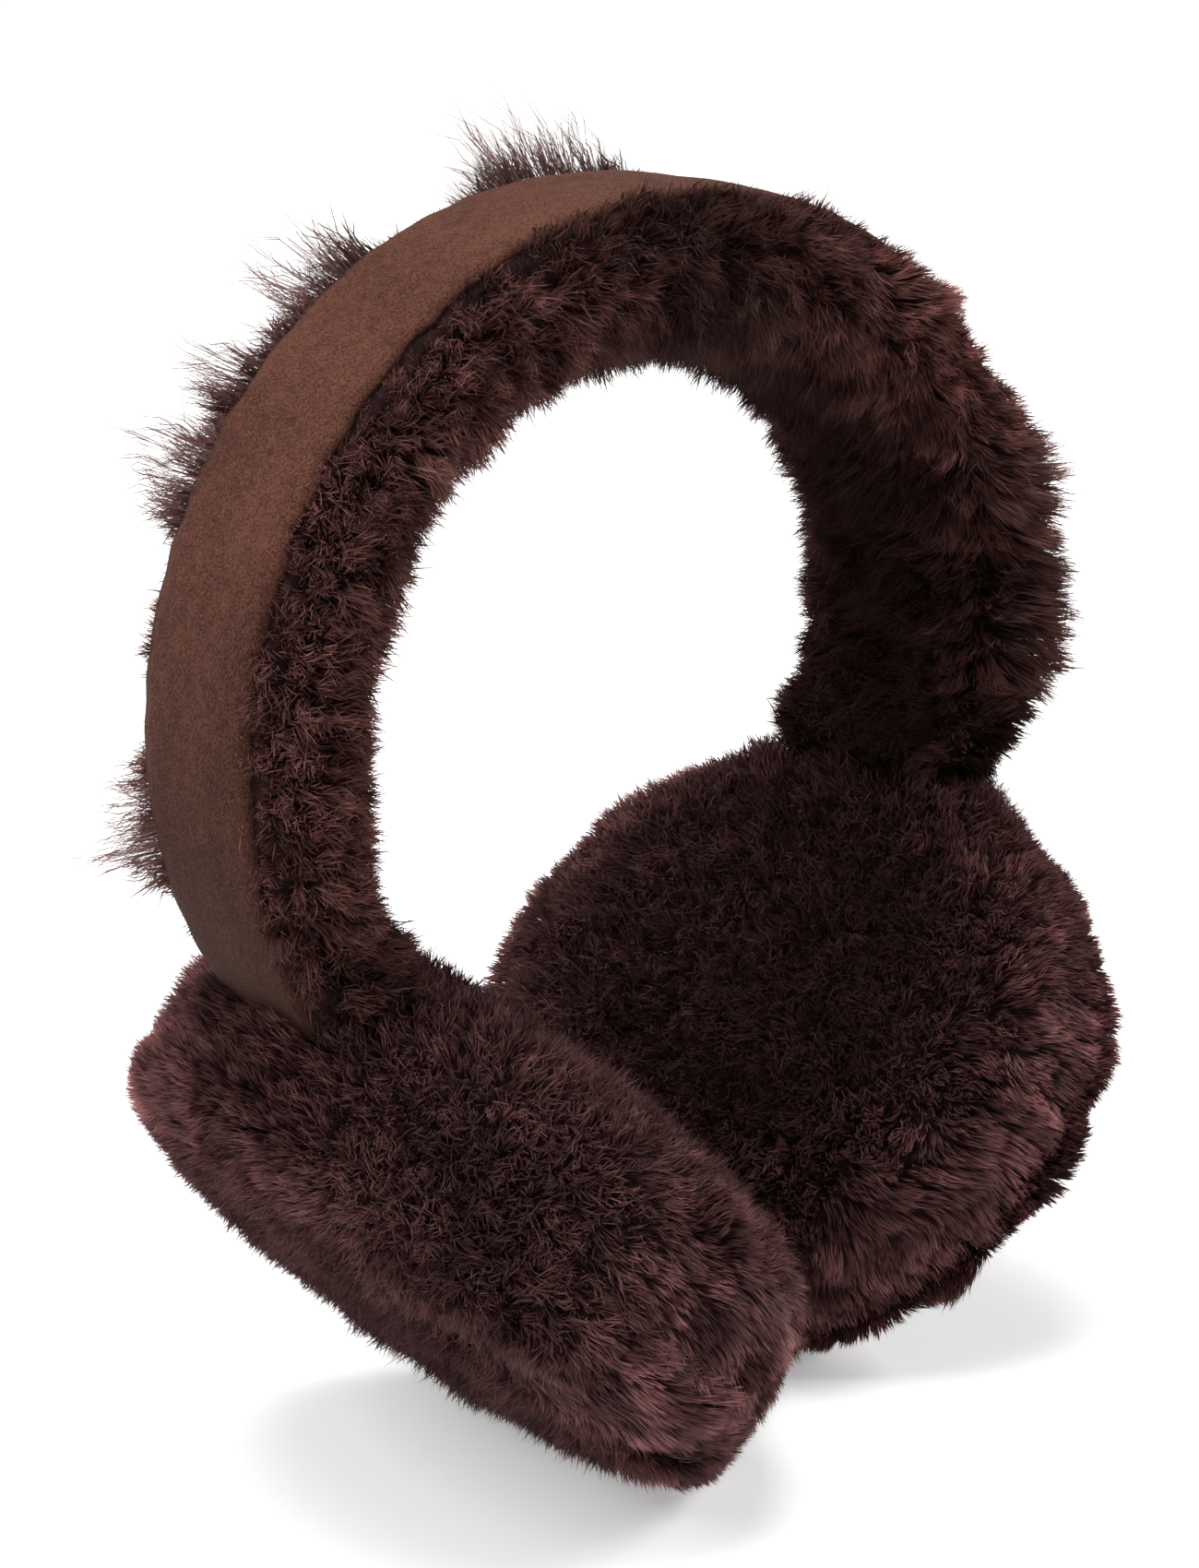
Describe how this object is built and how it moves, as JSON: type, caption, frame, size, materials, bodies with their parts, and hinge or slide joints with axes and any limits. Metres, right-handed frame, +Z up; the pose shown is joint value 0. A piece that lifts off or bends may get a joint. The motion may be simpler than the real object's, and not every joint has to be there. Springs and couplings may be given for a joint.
{
  "type": "fur earmuffs",
  "caption": "Sheepskin earmuffs: a curved head band with bare suede outside and deep pile inside, carrying a round two-sided fur pad at each end.",
  "frame": {"origin": "middle of the box's bottom, on the floor that both pads rest on", "axes": "+Z up, +X from the left pad to the right pad, -Y toward the front"},
  "size_m": [0.1928, 0.1418, 0.2049],
  "materials": {
    "suede": "matte chocolate suede with a fine mottled nap",
    "band_pile": "deep tousled sheepskin pile, near black in its partings",
    "pad_pile": "dense sheepskin pile with a soft mauve brown bloom on its tips"
  },
  "bodies": {
    "root": {"suede_band": "suede", "band_fur": "band_pile", "left_pad_outer_fur": "pad_pile", "left_pad_inner_fur": "pad_pile", "right_pad_outer_fur": "pad_pile", "right_pad_inner_fur": "pad_pile"}
  },
  "joints": []
}
